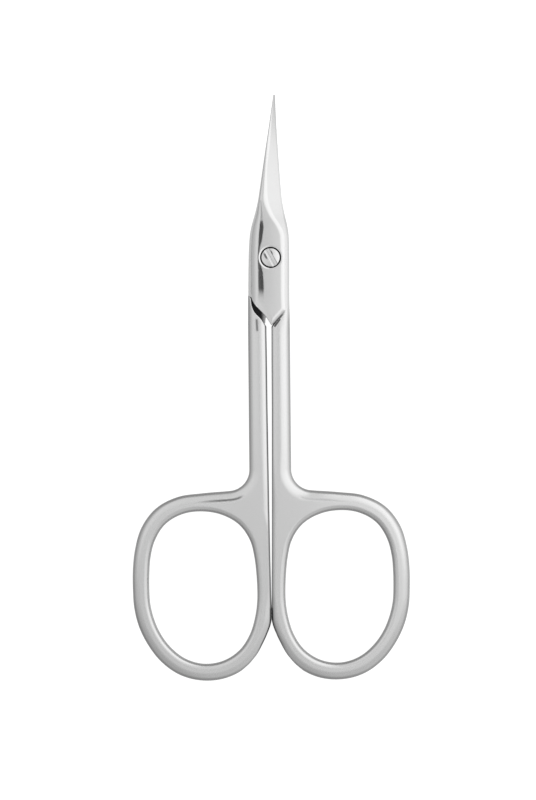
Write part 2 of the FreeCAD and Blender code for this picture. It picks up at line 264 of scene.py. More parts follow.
def bevel_height(side, x, y):
    """Bevel on the cutting side: a straight slope up from the edge, with a steeper facet along the rim."""
    edge = edge_x(side, y)
    inward = np.abs(x - edge)
    edge_share = reading(EDGE_SHARES, y)
    base = side * arc_height(past_pivot(edge, y), BLADE_LIFT)
    bevel = base + edge_share * PLATE_THICKNESS + BEVEL_SLOPE * inward
    facet = RIM_FACET_WIDTH * edge_share / EDGE_SHARES[0]
    return soft_least(bevel, bevel - (RIM_FACET_SLOPE - BEVEL_SLOPE) * (facet - inward), RIM_ROUNDING)


def spine_chamfer_height(side, x, y, lift):
    """Chamfer on the spine's side: level slope first, then a parabola that steepens towards the spine."""
    spine = spine_x(side, y)
    along = reading(CHAMFER_SHARES, y) * SPINE_CHAMFER_WIDTH - np.abs(x - spine)
    inner_slope, outer_slope = SPINE_CHAMFER_SLOPES
    bend = (outer_slope - inner_slope) / (2 * SPINE_CHAMFER_WIDTH)
    top = PLATE_THICKNESS + side * arc_height(past_pivot(spine, y), lift)
    return top - inner_slope * along - bend * np.maximum(along, 0) ** 2


def blade_spine_drop(side, x, y):
    """Rounding along the blade's spine, a parabola that starts past the plate and thins with the blade."""
    reach, depth = BLADE_SPINE_ROUNDING
    spine = spine_x(side, y)
    width = np.abs(edge_x(side, y) - spine)
    width_share = np.clip(width / BLADE_SPINE_FULL_WIDTH, BLADE_SPINE_LEAST_SHARE, 1)
    near = np.clip(1 - np.abs(x - spine) / (reach * width_share), 0, 1)
    return depth * straight_step(*BLADE_SPINE_SPAN, y) * width_share * near**2


def outer_height(side, x, y):
    """Height of a half's outer face: the least of flat, bevel, spine chamfer and the V's two chamfers.

    The flat and the plate's end are slightly crowned, and the spine and the V have rounded rims.
    """
    lift = BLADE_LIFT - side * (PLATE_THICKNESS - TIP_THICKNESS)
    own_x = side * (x - HANDLE_MIDDLE)
    crown = FLAT_CROWN * (own_x - FLAT_CROWN_CENTRE) ** 2
    end_crown = END_CROWN * np.minimum(y - END_CROWN_START, 0) ** 2
    flat = PLATE_THICKNESS + side * arc_height(past_pivot(x, y), lift) - crown - end_crown
    on_blade = straight_step(*BLADE_RIDGE_SPAN, y)
    softness = RIDGE_SOFTNESS + (BLADE_RIDGE_SOFTNESS - RIDGE_SOFTNESS) * on_blade
    height = soft_least(flat, bevel_height(side, x, y), softness)
    height = soft_least(height, spine_chamfer_height(side, x, y, lift), SPINE_RIDGE_SOFTNESS)
    height -= blade_spine_drop(side, x, y)
    corner, tip = nose_points()[0], nose_points()[-1]
    arm_end = (PLATE_HALF_WIDTH, tip[1] + NOSE_ARM_SLOPE * (PLATE_HALF_WIDTH - tip[0]))
    narrow, wide = NOSE_SHANK_CHAMFER_WIDTHS
    arm_width = narrow + (wide - narrow) * straight_step(tip[0], PLATE_HALF_WIDTH, own_x)
    for end, width in ((corner, NOSE_SPINE_CHAMFER_WIDTH), (arm_end, arm_width)):
        inside = arm_distance(own_x, y, tip, end)
        ground = PLATE_THICKNESS - end_crown - NOSE_CHAMFER_SLOPE * (width - inside)
        height = np.where(y < 0, soft_least(height, ground, NOSE_RIDGE_SOFTNESS), height)
    apart = 1 - straight_step(*NOSE_ARM_MERGE, own_x)
    from_arm = np.where(own_x > tip[0], arm_distance(own_x, y, tip, arm_end), BLADE_LENGTH)
    height -= np.where(y < 0, apart * round_drop(from_arm, NOSE_ARM_ROUNDING, NOSE_ARM_ROUNDING_DROP), 0)
    from_nose = (y - nose_y(own_x, side)) / math.sqrt(2)
    height -= apart * round_drop(np.maximum(from_nose, 0), RIM_ROUNDING)
    height -= round_drop(np.abs(x - spine_x(side, y)), RIM_ROUNDING)
    return LAP_HEIGHT + side * height


def inner_height(side, x, y):
    """Height of the lapped face: flat, then turned up as a surface of revolution about the pivot."""
    return LAP_HEIGHT + side * LAP_GAP / 2 + arc_height(past_pivot(x, y), BLADE_LIFT)


def plate_plan(side):
    """Grid of x and y: columns from spine to cutting edge, rows from the V up to the tip.

    Below NOSE_BASE the rows bend from straight to the V's own line.
    """
    across = (1 - np.cos(np.linspace(0, math.pi, PLATE_COLUMNS))) / 2
    rows = int((BLADE_LENGTH - NOSE_BASE) / PLATE_ROW_STEP)
    y = np.linspace(NOSE_BASE, BLADE_LENGTH, rows)
    upper_x = spine_x(side, y)[:, None] + (edge_x(side, y) - spine_x(side, y))[:, None] * across
    upper_y = np.repeat(y[:, None], PLATE_COLUMNS, axis=1)
    corner = nose_points()[0]
    arm_x = PLATE_HALF_WIDTH * WIDTH_SHARES[1]
    own_x = corner[0] + (arm_x - corner[0]) * across
    start_x = side * (upper_x[0] - HANDLE_MIDDLE)
    bend = np.sin(np.linspace(0, math.pi / 2, NOSE_ROWS))[::-1][:-1, None]
    lower_x = HANDLE_MIDDLE + side * (start_x + (own_x - start_x) * bend)
    lower_y = NOSE_BASE + (nose_y(own_x, side) - NOSE_BASE) * bend
    return np.vstack([lower_x, upper_x]), np.vstack([lower_y, upper_y])


def block_loop(points, rows, columns):
    """The points round a block of a grid, in order, as one closed loop."""
    (r0, r1), (c0, c1) = rows, columns
    return np.vstack([
        points[r0, c0:c1], points[r0:r1, c1], points[r1, c1:c0:-1], points[r1:r0:-1, c0],
        points[r0:r0 + 1, c0],
    ])


def face_rings(face_height, side, loop, circle, shares):
    """Blends of the block's own loop and a circle, laid on a face; a share is how far in a ring lies."""
    rings = [loop * (1 - share) + circle * share for share in shares]
    return [grid(*ring.T, face_height(side, *ring.T)) for ring in rings]


def bore_patch(side, plan, rows, columns):
    """Rings from the left-out block in to the bore, down through it, and out again on the lapped face."""
    loop = block_loop(plan, rows, columns)
    angle = np.arctan2(loop[:, 1], loop[:, 0])
    circle = grid(np.cos(angle), np.sin(angle))
    mouth = COUNTERBORE + COUNTERBORE_CHAMFER if side > 0 else THREAD_BORE + BORE_CHAMFER
    bore = JOURNAL_BORE if side > 0 else THREAD_BORE
    face = LAP_HEIGHT + side * PLATE_THICKNESS
    lap = LAP_HEIGHT + side * LAP_GAP / 2
    if side > 0:
        seat = face - COUNTERBORE_DEPTH
        rim = face - COUNTERBORE_CHAMFER_DROP
        profile = ((COUNTERBORE, rim), (COUNTERBORE, seat), (bore, seat), (bore, lap))
    else:
        profile = ((bore, face + BORE_CHAMFER), (bore, lap))
    shares = np.linspace(0, 1, PATCH_RINGS)
    outer = face_rings(outer_height, side, loop, circle * mouth, shares)
    middle = [grid(*(circle * r).T, z) for r, z in profile]
    inner = face_rings(inner_height, side, loop, circle * bore, shares[::-1][1:])
    return np.array(outer + middle + inner)


def placed(name, data):
    """A new object in the scene."""
    made = bpy.data.objects.new(name, data)
    bpy.context.scene.collection.objects.link(made)
    return made


def closed_mesh(name, grids):
    """Quads of each grid, joined where their borders meet, as one closed mesh in metres.

    A grid may carry a mask of its cells, and the cells that it leaves out aren't built.
    """
    points, faces, start = [], [], 0
    for item in grids:
        places, keep = item if isinstance(item, tuple) else (item, None)
        rows, columns = places.shape[:2]
        index = np.arange(rows * columns).reshape(rows, columns) + start
        quads = np.stack([index[:-1, :-1], index[1:, :-1], index[1:, 1:], index[:-1, 1:]], axis=-1)
        faces.append(quads[keep] if keep is not None else quads.reshape(-1, 4))
        points.append(places.reshape(-1, 3))
        start += rows * columns
    mesh = bpy.data.meshes.new(name)
    mesh.from_pydata((np.vstack(points) * MILLIMETRE).tolist(), [], np.vstack(faces).tolist())
    built = bmesh.new()
    built.from_mesh(mesh)
    bmesh.ops.remove_doubles(built, verts=built.verts, dist=MERGE_DISTANCE)
    bmesh.ops.dissolve_degenerate(built, dist=DEGENERATE_DISTANCE, edges=built.edges)
    bmesh.ops.delete(built, geom=[v for v in built.verts if not v.link_faces], context="VERTS")
    bmesh.ops.recalc_face_normals(built, faces=built.faces)
    built.to_mesh(mesh)
    built.free()
    mesh.shade_smooth()
    mesh.set_sharp_from_angle(angle=math.radians(SHARP_ANGLE))
    return placed(name, mesh)


def plate_and_blade(half):
    """Outer face and lapped face over one plan, walls round their rims, and the bore between them."""
    side = HALVES[half]
    x, y = plate_plan(side)
    outer = grid(x, y, outer_height(side, x, y))
    inner = grid(x, y, inner_height(side, x, y))
    middle_row = np.argmin(np.abs(y[:, 0]) + (np.arange(len(y)) < NOSE_ROWS) * BLADE_LENGTH)
    rows = [int(np.argmin(np.abs(y[:, 0] - place))) for place in (-PATCH_HALF_SIDE, PATCH_HALF_SIDE)]
    columns = sorted(int(np.argmin(np.abs(x[middle_row] - place)))
                     for place in (-PATCH_HALF_SIDE, PATCH_HALF_SIDE))
    keep = np.ones((len(x) - 1, PLATE_COLUMNS - 1), bool)
    keep[rows[0]:rows[1], columns[0]:columns[1]] = False
    walls = [np.array([outer[:, end], inner[:, end]]) for end in (0, -1)]
    walls += [np.array([outer[end], inner[end]]) for end in (0, -1)]
    patch = bore_patch(side, grid(x, y), rows, columns)
    return closed_mesh(half + "_plate_and_blade", [(outer, keep), (inner, keep), patch] + walls)


def linear(hex_colour):
    """An sRGB hex colour turned to the linear values that a shader works in."""
    channels = np.array([int(hex_colour[i:i + 2], 16) for i in (1, 3, 5)]) / 255
    low = channels / 12.92
    high = ((channels + 0.055) / 1.055) ** 2.4
    return (*np.where(channels <= 0.04045, low, high).tolist(), 1.0)


def node(tree, kind, links=(), **settings):
    """Adds a node, sets its properties and unlinked inputs, and links (input, from node, output)."""
    made = tree.nodes.new(kind)
    for key, value in settings.items():
        if key in made.inputs:
            made.inputs[key].default_value = value
        else:
            setattr(made, key, value)
    for socket, source, output in links:
        tree.links.new(source.outputs[output], made.inputs[socket])
    return made


def steel(name, colour, roughness, roughness_spread, grain_mm, grain_depth_mm, stretch):
    """Stainless steel whose grain is noise on object coordinates, drawn out along the grinding.

    The mirror mark lowers its roughness, and the painted shade mark turns it dark and dull.
    """
    material = bpy.data.materials.new(name)
    material.use_nodes = True
    tree = material.node_tree
    shader = tree.nodes["Principled BSDF"]
    shader.inputs["Metallic"].default_value = 1.0
    place = node(tree, "ShaderNodeTexCoord")
    drawn = node(tree, "ShaderNodeMapping", [("Vector", place, "Object")], Scale=stretch)
    grain = node(tree, "ShaderNodeTexNoise", [("Vector", drawn, "Vector")],
                 Scale=1 / (grain_mm * MILLIMETRE), Detail=3.0)
    rough = node(tree, "ShaderNodeMapRange", [("Value", grain, "Fac")])
    rough.inputs["To Min"].default_value = roughness - roughness_spread
    rough.inputs["To Max"].default_value = roughness + roughness_spread
    bump = node(tree, "ShaderNodeBump", [("Height", grain, "Fac")],
                Strength=1.0, Distance=grain_depth_mm * MILLIMETRE)
    tree.links.new(bump.outputs["Normal"], shader.inputs["Normal"])
    mirror = node(tree, "ShaderNodeAttribute", attribute_name="mirror")
    # Attribute of painted shade: where it is set, a dark colour is painted into the steel's colour.
    skin = node(tree, "ShaderNodeAttribute", attribute_name="skin")
    bright = node(tree, "ShaderNodeMix", [("Factor", mirror, "Fac"), ("A", rough, "Result")])
    bright.inputs["B"].default_value = MIRROR_ROUGHNESS
    dull = node(tree, "ShaderNodeMix", [("Factor", skin, "Fac"), ("A", bright, "Result")])
    dull.inputs["B"].default_value = PAINTED_SHADE_ROUGHNESS
    tree.links.new(dull.outputs["Result"], shader.inputs["Roughness"])
    # Sockets by number, because a Mix node has an A, a B and a Result for each kind of value.
    tint = node(tree, "ShaderNodeMix", [(0, skin, "Fac")], data_type="RGBA")
    tint.inputs[6].default_value = linear(colour)
    tint.inputs[7].default_value = linear(PAINTED_SHADE_COLOUR)
    tree.links.new(tint.outputs[2], shader.inputs["Base Color"])
    return material


def polished_band(x, y):
    """How far a point lies inside the strip that the polishing wheel left mirror bright, 0 to 1."""
    left_soft, right_soft = POLISHED_SOFTNESS
    first, last = POLISHED_BAND[0][0], POLISHED_BAND[-1][0]
    share = np.clip((x - read_rows(POLISHED_BAND, y)) / left_soft + 0.5, 0, 1)
    share *= np.clip((read_rows(POLISHED_BAND, y, 2) - x) / right_soft + 0.5, 0, 1)
    return share * straight_step(first, first + POLISHED_FADE, y) * (y < last)


def points_of(mesh):
    """Coordinates of a mesh's points, in millimetres."""
    places = np.empty(len(mesh.vertices) * 3, np.float32)
    mesh.vertices.foreach_get("co", places)
    return places.reshape(-1, 3).T.astype(float) / MILLIMETRE


def store_marks(mesh, **marks):
    """Stores each mark, 0 to 1, as an attribute of the mesh's points."""
    for name, values in marks.items():
        layer = mesh.attributes.new(name, "FLOAT", "POINT")
        layer.data.foreach_set("value", values.astype(np.float32))


def mark_plate(mesh, side):
    """Marks the mirror-bright strip, and where shade is painted into the plate's colour.

    Painted shade lies on the lapped face past the other half's V and in the front half's counterbore,
    and a painted dark reflection lies over the strip's upper end.
    """
    x, y, z = points_of(mesh)
    bright = polished_band(x, y) * (z > LAP_HEIGHT + PLATE_THICKNESS - RIM_ROUNDING)
    own_x = side * (x - HANDLE_MIDDLE)
    # Painted shade on the lapped face, in the crevice between this plate and the other half's shoulder.
    on_lap = np.abs(z - LAP_HEIGHT - side * LAP_GAP / 2) < LAP_TOLERANCE
    beyond = nose_y(-own_x) + CREVICE_SHADE_MARGIN - y
    skin = on_lap * straight_step(0, CREVICE_SHADE_MARGIN, beyond) * straight_step(*CREVICE_SHADE_FADE, own_x)
    # Painted shade in the front half's counterbore.
    rim = LAP_HEIGHT + PLATE_THICKNESS - COUNTERBORE_CHAMFER_DROP
    counterbore_shade = (z < rim - LAP_TOLERANCE) & (z > LAP_HEIGHT + LAP_GAP) & (side > 0)
    counterbore_shade &= np.hypot(x, y) < COUNTERBORE + LAP_TOLERANCE
    # Painted dark reflection darkens the mirror strip's upper end.
    tail_reflection = BAND_TAIL_REFLECTION_DARKNESS * bright * straight_step(*BAND_TAIL, y)
    store_marks(mesh, mirror=bright, skin=np.maximum(np.maximum(skin, counterbore_shade), tail_reflection))


# Ground and polished stainless: grinding lines too fine to show are drawn ten times coarser, and faint.
ground_stainless = steel("ground_polished_stainless", "#C4C4C4", 0.19, 0.02, 0.30, 0.0001, (1, 3, 1))

for half, side in HALVES.items():
    plate = plate_and_blade(half)
    mark_plate(plate.data, side)
    plate.data.materials.append(ground_stainless)
    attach(plate, half)
    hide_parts(half + "_half")


# Handles: a crowned shank that widens through a web into an oval finger ring.
# Each is one forging with its plate, rounded all over and satin finished; the faces along the gap are
# ground flat. Its end towards the plate is the shoulder that takes the other half's V.

HANDLE_THICKNESS = 2.8
SHANK_HALF_SPAN = 3.35
SHANK_LENGTH = 37.8
SHANK_CREST = 1.42

# Face along the gap in a right half's own plan, as y and its x; the rings touch where x is least.
GAP_FACE = (
    (-66.5, 5.4), (-66.0, 4.85), (-65.5, 4.25), (-65.0, 3.69), (-64.5, 3.24), (-64.0, 2.83), (-63.6, 2.5),
    (-63.1, 2.16), (-62.6, 1.88), (-62.1, 1.63), (-61.4, 1.28), (-60.7, 0.94), (-60.2, 0.73), (-59.7, 0.52),
    (-59.3, 0.36), (-58.8, 0.19), (-58.3, 0.07), (-57.9, 0.01), (-57.5, 0.005), (-55.9, 0.005),
    (-54.8, 0.03), (-54.0, 0.045), (-51.6, 0.075), (-46.8, 0.148), (-39.5, 0.225), (-31.0, 0.29),
    (-24.0, 0.35), (-16.0, 0.375), (-10.85, 0.41),
)
OPENING_HALF_WIDTH = 8.64
OPENING_HALF_HEIGHT = 12.2
RING_END_BAND = 2.8
RING_GAP_BAND = 2.26
RING_HALF_HEIGHT = OPENING_HALF_HEIGHT + RING_END_BAND
RING_CENTRE = np.array([OPENING_HALF_WIDTH + RING_GAP_BAND, -(SHANK_LENGTH + RING_HALF_HEIGHT)])
WEB_RADIUS = 3.4
WEB_SLOPE = 0.09
WEB_RISE = 0.52
BLANK_ALLOWANCE = 0.8

SHANK_CROWN_REACH = 1.75
RING_CROWN_REACH = 1.3
WEB_CROWN_REACH = 2.0
WEB_CROWN_SPAN = (-30, -36)
RING_CROWN_SPAN_ASIDE = (4, 9)
RING_CROWN_SPAN_DOWN = (-40, -44)
CROWN_DEPTH = 1.12
OPENING_CROWN_REACH = 0.9
OPENING_CROWN_DEPTH = 0.95
GAP_CROWN_REACH = 1.25
GAP_CROWN_DEPTH = 0.16
GAP_CROWN_END = (-30, -38)
GAP_RIM_ROUNDING = 0.14
MERGE_ALLOWANCE = 0.001
SHOULDER_ROUNDING = 0.22
PLATE_MERGE = (-13.0, -8.0)
SHANK_TOP_INSET = 0.06

# Shoulder from the outer side to the gap, as shares of the plate's half width and of its drop.
SHOULDER_SHARES = (
    (1.060, -0.545), (0.862, -0.585), (0.812, -0.682), (0.700, -0.783),
    (0.324, -0.919), (0.141, -1.009), (0.030, -1.090),
)
SHOULDER_LEVEL = -8.85
SHOULDER_STRETCH = 10.0
SHANK_TOP = 5.5
SHANK_TOP_SPREAD = 1.3

# Radii from the ring's centre as shares of the half heights, one every CLOCK_STEP: the opening's go
# counter-clockwise from the outer side, the ring's clockwise from the top.
OPENING_RADIUS_SHARES = (
    0.707, 0.730, 0.796, 0.890, 0.976, 1.009, 1.007, 0.993, 0.957, 0.877, 0.781, 0.723,
    0.708, 0.730, 0.780, 0.859, 0.940, 0.986, 0.990, 0.951, 0.881, 0.812, 0.756, 0.722,
)
RING_RADIUS_SHARES = (
    1.013, 1.011, 0.990, 0.923, 0.836, 0.775, 0.750, 0.764, 0.797, 0.842, 0.903, 0.958,
    0.985, 0.986, 0.953, 0.886, 0.829, 0.779,
)
CLOCK_STEP = 15.0
OUTLINE_STEPS = 12

FAN_CLOCK = 109.0
CORNER_CLOCK = 135.0
SEAM_END_WAY = (0.36, -1)
WEB_STEPS = 40
SHOULDER_STEPS = 16
SHOULDER_LINE_STEPS = 200
SECTION_STEPS = 46
SHANK_TOP_ROWS = 55
SHANK_ROWS = 60
SEAM_ROWS = 46
FAN_ROWS = 24
RING_ROWS = 400

CREASE_REACH = 1.45
CREASE_HALF_WIDTH = 0.26
CREASE_DEPTHS = {"front": 0.03, "back": 0.15}
CREASE_SPAN = (4.1, 5.1, 7.6, 12.6)
CREASE_FOOT = (-44, -43)
ARM_CREASE_HALF_WIDTH = 0.2
ARM_CREASE_DEPTH = 0.2
ARM_CREASE_SPAN = (0.4, 0.7, 1.9, 2.7)
SECOND_CREASE = ((0.92, -11.0), (1.72, -9.95))
# Darkness of the painted shade in the creases, and of the painted streak on the back shank.
PAINTED_CREASE_DARKNESS = 0.75
# Painted dark reflection streak on the back shank, with no groove under it: its two ends, and its half
# width.
BACK_PAINTED_STREAK = ((1.95, -10.0), (1.88, -11.6))
BACK_PAINTED_STREAK_HALF_WIDTH = 0.32

# Painted shade in strips beside the gap, each as darkness, width at full darkness, and width of the fade.
GAP_SHADES = {"front": (0.55, 0.06, 0.3), "back": (0.72, 0.18, 0.14)}
GAP_SHADE_END = (-63.5, -61.5)
RING_SHADE_FADE = 0.6
RING_SHADE_SPAN = (-30, -40)
# Painted shadow where the rings touch: darkness, width at full darkness, width of the fade, and its span
# down the gap.
CONTACT_SHADE = (0.97, 0.15, 0.25)
CONTACT_SPAN = (-58.8, -57.8, -56.3, -55.3)


def web_arc():
    """Quarter-like arc between the shank's side and the ring's top edge."""
    turn = math.atan(WEB_SLOPE)
    centre = np.array([
        SHANK_HALF_SPAN + WEB_RADIUS,
        RING_CENTRE[1] + RING_HALF_HEIGHT + WEB_RISE + WEB_RADIUS,
    ])
    angles = np.linspace(math.pi, 1.5 * math.pi - turn, WEB_STEPS)
    return centre + WEB_RADIUS * grid(np.cos(angles), np.sin(angles))


def blank_outline():
    """Rounded blank before the gap is ground: shank side, web, ring, and up along the gap."""
    web = web_arc()
    turn = np.radians(90 - CLOCK_STEP * np.arange(len(RING_RADIUS_SHARES)))
    reach = RING_HALF_HEIGHT * np.array(RING_RADIUS_SHARES)[:, None]
    ring = RING_CENTRE + reach * grid(np.cos(turn), np.sin(turn))
    inner_low = np.array([-BLANK_ALLOWANCE, RING_CENTRE[1]])
    path = curve_through(np.vstack([web[-1:], ring, inner_low]), OUTLINE_STEPS, (1, -WEB_SLOPE), (0, 1))
    top = np.array([[SHANK_HALF_SPAN, 0.0]])
    inner_top = np.array([[-BLANK_ALLOWANCE / 2, 0.0]])
    return np.vstack([top, web, path[1:], inner_top])


def opening_outline():
    """Finger opening as a closed loop."""
    turn = np.radians(CLOCK_STEP * np.arange(len(OPENING_RADIUS_SHARES)))
    reach = OPENING_HALF_HEIGHT * np.array(OPENING_RADIUS_SHARES)[:, None]
    points = RING_CENTRE + reach * grid(np.cos(turn), np.sin(turn))
    padded = np.vstack([points[-1:], points, points[:2]])
    return curve_through(padded, OUTLINE_STEPS)[OUTLINE_STEPS:-OUTLINE_STEPS]


def gap_x(y):
    """X of the face along the gap: it closes from plate to rings, then opens into the V below them."""
    return read_rows(GAP_FACE, y)


def distance_to(path, x, y):
    """Least distance from each point to a chain of straight pieces."""
    start, run = path[:-1], np.diff(path, axis=0)
    length = np.maximum((run**2).sum(1), 1e-12)
    px = x[..., None] - start[:, 0]
    py = y[..., None] - start[:, 1]
    t = np.clip((px * run[:, 0] + py * run[:, 1]) / length, 0, 1)
    return np.sqrt(((px - t * run[:, 0]) ** 2 + (py - t * run[:, 1]) ** 2).min(axis=-1))


def ray_points(path, clocks):
    """Points of a path round the ring's centre, seen from there at the given clock angles."""
    aside, up = (path - RING_CENTRE).T
    angle = np.degrees(np.unwrap(np.arctan2(up, aside)))
    reach = np.hypot(aside, up)
    if angle[-1] < angle[0]:
        angle, reach = angle[::-1], reach[::-1]
    wanted = (np.asarray(clocks) - angle[0]) % 360 + angle[0]
    found = np.interp(wanted, angle, reach)
    turn = np.radians(clocks)
    return RING_CENTRE + found[:, None] * grid(np.cos(turn), np.sin(turn))


def ground_outline():
    """The blank's outline with nothing left past the face along the gap."""
    path = blank_outline()
    path[:, 0] = np.maximum(path[:, 0], gap_x(path[:, 1]))
    return path


def shoulder_y(own_x):
    """Line of the shoulder, as y over x."""
    points = np.array(SHOULDER_SHARES) * (PLATE_HALF_WIDTH, PLATE_DROP)
    path = curve_through(points, SHOULDER_STEPS)[::-1]
    return np.interp(own_x, path[:, 0], path[:, 1])


def smooth_step(low, high, value):
    """Rises from 0 at low to 1 at high along a cubic."""
    t = straight_step(low, high, value)
    return t * t * (3 - 2 * t)


def smooth_span(span, value):
    """Rises from 0 to 1 over the span's first two places, and falls back to 0 over its last two."""
    low, full, end, high = span
    return smooth_step(low, full, value) * smooth_step(high, end, value)


def handle_sections():
    """Ends of the sections across the handle, as two chains of points: outline and inner line.

    Down the shank the inner line is its crest; through the web it is a seam to the opening's corner;
    round the ring it is the opening. The last two stretches go back up the gap side.
    """
    top = SHOULDER_LEVEL - SHANK_TOP * np.linspace(0, 1, SHANK_TOP_ROWS) ** SHANK_TOP_SPREAD
    shank_y = np.concatenate([top, np.linspace(top[-1], web_arc()[0][1], SHANK_ROWS)[1:]])
    crest = grid(SHANK_CREST, shank_y)
    opening = opening_outline()
    corner = ray_points(opening, [CORNER_CLOCK])[0]
    seam = curve_through(np.array([crest[-1], corner]), SEAM_ROWS, (0, -1), SEAM_END_WAY)
    web = web_arc()
    outline = ground_outline()
    outline = outline[np.argmax(outline[:, 0] > web[len(web) // 2, 0]):]
    gap_y = np.linspace(RING_CENTRE[1], web[0, 1], RING_ROWS)
    outline = np.vstack([outline[:-1], grid(gap_x(gap_y), gap_y)])
    fan_end = ray_points(outline, [FAN_CLOCK])[0]
    web = np.vstack([web[web[:, 0] < fan_end[0]], fan_end])
    along = np.concatenate([[0], np.cumsum(np.hypot(*np.diff(web, axis=0).T))])
    share = np.linspace(0, along[-1], SEAM_ROWS + FAN_ROWS + 1)
    web = grid(*(np.interp(share, along, column) for column in web.T))
    fan_clocks = np.linspace(CORNER_CLOCK, FAN_CLOCK, FAN_ROWS + 1)
    ring_clocks = np.linspace(FAN_CLOCK, CORNER_CLOCK - 360, RING_ROWS + 1)
    inset = SHANK_TOP_INSET * smooth_step(*PLATE_MERGE, shank_y)
    side_outer = grid(SHANK_HALF_SPAN - inset, shank_y)
    side_gap = grid(gap_x(shank_y), shank_y)
    gap_end = ray_points(outline, [CORNER_CLOCK])[0]
    gap_y = np.linspace(gap_end[1], shank_y[-1], SEAM_ROWS + 1)
    gap_run = grid(gap_x(gap_y), gap_y)
    return (
        (side_outer, crest, False),
        (web[:SEAM_ROWS + 1], seam, False),
        (web[SEAM_ROWS:], ray_points(opening, fan_clocks), True),
        (ray_points(outline, ring_clocks), ray_points(opening, ring_clocks), True),
        (gap_run, seam[::-1], False),
        (side_gap[::-1], crest[::-1], False),
    )


def crease(distance, half_width):
    """A narrow mark along a line, 1 where the distance is nought."""
    return 1 - smooth_step(0, half_width, np.abs(distance))


def ring_crease(x, y):
    """Fold in the forging along the top of the ring, just inside its outer edge."""
    share = smooth_span(CREASE_SPAN, x) * smooth_step(*CREASE_FOOT, y)
    near = np.nonzero(share)
    share[near] *= crease(distance_to(blank_outline(), x[near], y[near]) - CREASE_REACH, CREASE_HALF_WIDTH)
    return share


def arm_crease(x, y):
    """Corner between the shank and the V's straight arm, and a short mark beside it."""
    tip = nose_points()[-1]
    beyond = (tip[1] + NOSE_ARM_SLOPE * (x - tip[0]) - y) / math.hypot(1, NOSE_ARM_SLOPE)
    first = crease(beyond - ARM_CREASE_HALF_WIDTH / 2, ARM_CREASE_HALF_WIDTH)
    second = crease(distance_to(np.array(SECOND_CREASE), x, y), ARM_CREASE_HALF_WIDTH)
    return np.maximum(first * smooth_span(ARM_CREASE_SPAN, x), second)


def plate_side_height(x):
    """Height over the lap of the plate's bevel and rim facet, run on down beside the shoulder."""
    inward = PLATE_HALF_WIDTH * WIDTH_SHARES[1] - x
    bevel = EDGE_SHARES[1] * PLATE_THICKNESS + BEVEL_SLOPE * inward
    facet = bevel - (RIM_FACET_SLOPE - BEVEL_SLOPE) * (RIM_FACET_WIDTH - inward)
    return soft_least(bevel, facet, RIM_ROUNDING)


def handle_drop(x, y, joined):
    """How far the handle's face lies below its crest: crowns at outline and opening, small roundings.

    On the face that is joined to its plate, the side's crown runs out into the plate's bevel.
    """
    blank = distance_to(blank_outline(), x, y)
    joined = joined * smooth_step(*PLATE_MERGE, y)
    on_ring = np.maximum(smooth_step(*RING_CROWN_SPAN_ASIDE, x), smooth_step(*RING_CROWN_SPAN_DOWN, y))
    reach = SHANK_CROWN_REACH + (WEB_CROWN_REACH - SHANK_CROWN_REACH) * smooth_step(*WEB_CROWN_SPAN, y)
    reach += (RING_CROWN_REACH - WEB_CROWN_REACH) * on_ring
    crest = HANDLE_THICKNESS / 2
    drop = (1 - joined) * round_drop(blank, reach, CROWN_DEPTH)
    drop += joined * (crest - soft_least(crest, plate_side_height(x), RIDGE_SOFTNESS))
    drop += round_drop(distance_to(opening_outline(), x, y), OPENING_CROWN_REACH, OPENING_CROWN_DEPTH)
    gap = np.maximum(np.abs(x - gap_x(y)) - MERGE_ALLOWANCE, 0)
    crown = np.maximum(1 - gap / GAP_CROWN_REACH, 0) ** 2 * (1 - smooth_step(*GAP_CROWN_END, y))
    drop += round_drop(gap, GAP_RIM_ROUNDING) + GAP_CROWN_DEPTH * crown
    shoulder = np.linspace(0, PLATE_HALF_WIDTH, SHOULDER_LINE_STEPS)
    apart = 1 - joined * smooth_step(*NOSE_ARM_MERGE, x)
    from_shoulder = distance_to(grid(shoulder, shoulder_y(shoulder)), x, y)
    drop += apart * round_drop(from_shoulder, SHOULDER_ROUNDING)
    return drop


def beside_gap(x, y, flat, fade):
    """1 in a flat strip along the face at the gap, then down to 0 over the fade."""
    return np.clip(1 - (x - gap_x(y) - flat) / fade, 0, 1)


def gap_shade(x, y, half):
    """Painted shade on the rim of the face at the gap; it ends down in the V."""
    dark, flat, fade = GAP_SHADES[half]
    fade = fade + (RING_SHADE_FADE - fade) * smooth_step(*RING_SHADE_SPAN, y) * (half == "front")
    return dark * beside_gap(x, y, flat, fade) * smooth_step(*GAP_SHADE_END, y)


def contact_shade(x, y):
    """Painted shadow where the two rings rest against each other."""
    dark, flat, fade = CONTACT_SHADE
    return dark * smooth_span(CONTACT_SPAN, y) * beside_gap(x, y, flat, fade)


